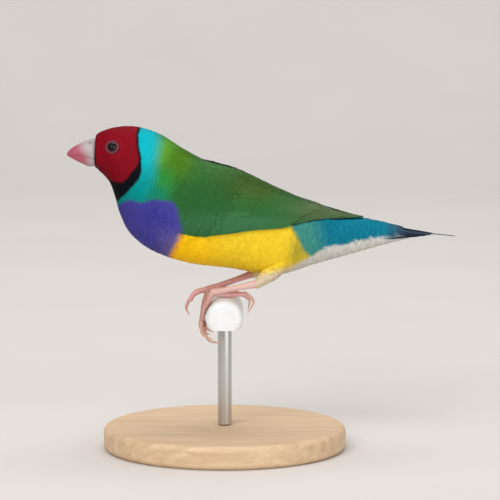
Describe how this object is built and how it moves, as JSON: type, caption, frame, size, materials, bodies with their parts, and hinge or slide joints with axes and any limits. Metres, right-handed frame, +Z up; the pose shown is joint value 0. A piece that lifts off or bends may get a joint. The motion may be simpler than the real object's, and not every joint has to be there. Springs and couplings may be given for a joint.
{
  "type": "gouldian finch model on a perch and display stand",
  "caption": "Life-size still model of a red-headed gouldian finch gripping a short round perch on a plain disc stand.",
  "frame": {"origin": "centre of the whole model's box, on the surface that the stand's base rests on", "axes": "-X is the way the bird faces, -Y is its left side, +Z is up"},
  "size_m": [0.1336, 0.084, 0.1121],
  "materials": {
    "crimson_feathers": "soft barbed feathers, dark crimson with a black edge",
    "turquoise_feathers": "soft feathers, turquoise band fading to yellow-green, purple breast",
    "yellow_feathers": "soft belly feathers, golden yellow",
    "blue_feathers": "rump and tail coverts, blue above and cream below",
    "dark_feathers": "smooth vanes, slate black, slightly glossy",
    "green_feathers": "smooth wing feathers, grass green",
    "bill_horn": "polished horn, pale with a rose red tip",
    "eye": "wet and glossy, dark brown",
    "cream_feathers": "loose downy feathers, cream",
    "leg_skin": "scaled skin, flesh pink, with paler claws",
    "white_plastic": "satin moulded plastic, white",
    "stand_steel": "brushed along its length",
    "stand_wood": "turned pale wood, oiled"
  },
  "bodies": {
    "root": {"head": "crimson_feathers", "neck": "turquoise_feathers", "torso": "yellow_feathers", "rump": "blue_feathers", "tail": "dark_feathers", "wing_left": "green_feathers", "wing_right": "green_feathers", "bill_upper": "bill_horn", "bill_lower": "bill_horn", "eye_left": "eye", "eye_right": "eye", "thigh_left": "cream_feathers", "thigh_right": "cream_feathers", "leg_left": "leg_skin", "leg_right": "leg_skin", "foot_left": "leg_skin", "foot_right": "leg_skin", "perch": "white_plastic", "stand_rod": "stand_steel", "stand_base": "stand_wood"}
  },
  "joints": []
}
